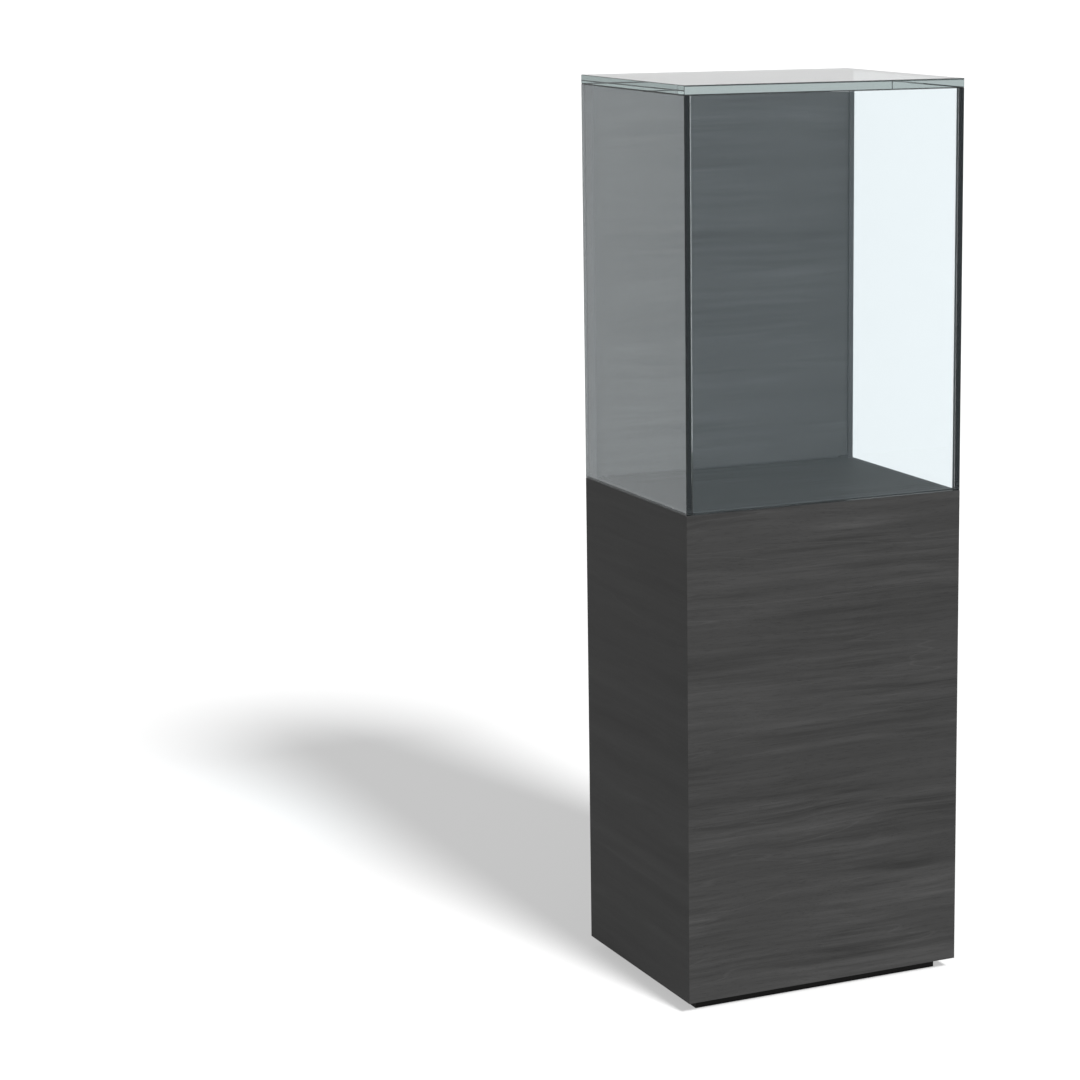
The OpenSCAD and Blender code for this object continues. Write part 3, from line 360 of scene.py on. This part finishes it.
def dress(frame):
    """Gives each CAD node the material of its slot, or one of its own."""
    coated = plain_material("frame", FRAME, rough=0.42, specular=0.4, size=0.0007, depth=0.00003)
    by_slot = {
        "laminate": laminate_material("laminate_upright", LAMINATE, 1.0, "Y"),
        "plinth": plain_material(
            "plinth", PLINTH, rough=0.60, specular=0.12, size=0.0012, depth=0.00004),
        # Silicone whose near-black colour also paints the shade line at the panes' feet
        "silicone": plain_material(
            "silicone", SILICONE_AND_PAINTED_SHADE, rough=0.35, specular=0.5, size=0.004, depth=0.00002),
        "rubber": plain_material(
            "rubber", RUBBER, rough=0.7, specular=0.35, size=0.0009, depth=0.00003),
        "steel": metal_material("steel", STEEL, 0.30),
        "zinc": metal_material("zinc", ZINC, 0.42),
        "lock": metal_material("nickel", NICKEL, 0.22),
        "plug": metal_material("brass", BRASS, 0.25),
        "frame": coated,
        "leveller": leveller_material(),
        "beech": beech_material(),
        "glass": glass_material("glass"),
    }
    by_name = {
        "display_door": laminate_material("laminate_wall", LAMINATE, 0.8, "Y"),
        # Painted shade: a much darker copy of the laminate on the deck
        "deck_board": laminate_material("laminate_deck_painted_shade", DECK_LAMINATE_PAINTED_SHADE, 1.0, "Z"),
        "front_glass": glass_material("front_glass", "XZ"),
    }
    flat = laminate_material("laminate_flat", LAMINATE, 1.0, "Z")
    # Painted shade: a darker copy of the laminate, with fainter grain, for the sides turned from the
    # light
    painted_shade_side = laminate_material("laminate_side_painted_shade", SIDE_LAMINATE_PAINTED_SHADE, 0.35, "X", turned=True)
    side_glass = glass_material("side_glass", "Z")
    shared = (
        (flat, ("bottom_board", "storage_shelf")),
        (painted_shade_side, ("left_side_panel", "right_side_panel")),
        (side_glass, ("left_glass", "right_glass")),
        (coated, ("rear_frame_screws", "display_strike_plate", "display_strike_screws",
                  "storage_strike_plate", "storage_strike_screws")),
    )
    for material, names in shared:
        by_name.update({name: material for name in names})
    for name, piece in frame["nodes"].items():
        slot = piece.data.materials[0].name
        piece.data.materials.clear()
        piece.data.materials.append(by_name.get(name) or by_slot[slot])


# ---------- stage ----------

def floor_level(tree):
    """The floor's brightness, from where it lies round the object."""
    place = split(tree, object_place(tree))
    near = remap(tree, place["Y"], NEAR_ZONE_Y, FLOOR_NEAR, 1.0)
    behind = remap(tree, place["Y"], REAR_ZONE_Y)
    left = number(tree, "MULTIPLY", behind, remap(tree, place["X"], LEFT_ZONE_X, FLOOR_LEFT - 1, 0.0))
    right = number(tree, "MULTIPLY", behind, remap(tree, place["X"], RIGHT_ZONE_X, 0.0, FLOOR_RIGHT - 1))
    return number(tree, "ADD", near, number(tree, "ADD", left, right))


def make_floor():
    half = FLOOR_SIZE / 2
    corners = [(-half, -half, 0), (half, -half, 0), (half, half, 0), (-half, half, 0)]
    mesh = bpy.data.meshes.new("floor")
    mesh.from_pydata(corners, [], [(0, 1, 2, 3)])
    floor = bpy.data.objects.new("floor", mesh)
    bpy.context.scene.collection.objects.link(floor)
    material, tree = new_tree("floor")
    level = floor_level(tree)
    glow = node(tree, "ShaderNodeEmission", {"Strength": number(tree, "MULTIPLY", level, FLOOR_GLOW)})
    lit = node(tree, "ShaderNodeBsdfDiffuse", {"Color": number(tree, "MULTIPLY", level, FLOOR_GREY)})
    shader = node(tree, "ShaderNodeAddShader", {0: glow.outputs[0], 1: lit.outputs[0]})
    node(tree, "ShaderNodeOutputMaterial", {"Surface": shader.outputs[0]})
    mesh.materials.append(material)
    return floor


def make_world():
    """White all round, a little dimmer near the horizon for what the object reflects."""
    world = bpy.data.worlds.new("surroundings")
    bpy.context.scene.world = world
    world.use_nodes = True
    tree = world.node_tree
    tree.nodes.clear()
    direction = node(tree, "ShaderNodeTexCoord").outputs["Generated"]
    level = remap(tree, split(tree, direction)["Z"], HORIZON_ZONE, HORIZON_LIGHT, 1.0)
    camera = node(tree, "ShaderNodeLightPath").outputs["Is Camera Ray"]
    level = number(tree, "MULTIPLY", number(tree, "MAXIMUM", level, camera), WORLD_LIGHT)
    light = node(tree, "ShaderNodeBackground", {"Color": (1, 1, 1, 1), "Strength": level})
    node(tree, "ShaderNodeOutputWorld", {"Surface": light.outputs[0]})


def make_sun(name, level):
    """A broad sun. At level 1 it alone makes a white surface that faces it render white."""
    lamp = bpy.data.lights.new(name, "SUN")
    lamp.energy = level * math.pi
    lamp.angle = math.radians(SUN_ANGLE)
    sun = bpy.data.objects.new(name, lamp)
    flat = Vector((SUN_DRIFT, 1.0, 0.0)).normalized() * math.cos(math.radians(SUN_ELEVATION))
    travel = flat - Vector((0, 0, math.sin(math.radians(SUN_ELEVATION))))
    sun.rotation_euler = travel.to_track_quat("-Z", "Y").to_euler()
    bpy.context.scene.collection.objects.link(sun)
    return sun


def light_only(sun, piece):
    lit = bpy.data.collections.new(sun.name + "_lights")
    lit.objects.link(piece)
    sun.light_linking.receiver_collection = lit


def make_camera():
    lens = bpy.data.cameras.new("camera")
    lens.sensor_width = CAMERA_SENSOR
    lens.lens = CAMERA_LENS
    lens.shift_x = CAMERA_SHIFT_X
    lens.clip_end = 2 * FLOOR_SIZE
    camera = bpy.data.objects.new("camera", lens)
    camera.location = CAMERA_PLACE
    camera.rotation_euler = (math.radians(90 - CAMERA_PITCH), 0, -math.radians(CAMERA_YAW))
    bpy.context.scene.collection.objects.link(camera)
    bpy.context.scene.camera = camera


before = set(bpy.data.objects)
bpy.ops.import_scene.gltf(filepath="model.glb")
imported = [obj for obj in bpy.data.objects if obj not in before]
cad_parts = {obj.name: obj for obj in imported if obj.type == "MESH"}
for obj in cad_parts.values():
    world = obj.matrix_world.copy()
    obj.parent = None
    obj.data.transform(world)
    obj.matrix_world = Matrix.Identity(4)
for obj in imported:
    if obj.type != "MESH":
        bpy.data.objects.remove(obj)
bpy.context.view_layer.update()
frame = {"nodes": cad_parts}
dress(frame)
floor = make_floor()
make_world()
make_sun("key", OBJECT_SUN)
light_only(make_sun("shadow_sun", FLOOR_SUN), floor)
make_camera()
bpy.context.scene.view_settings.view_transform = "Standard"
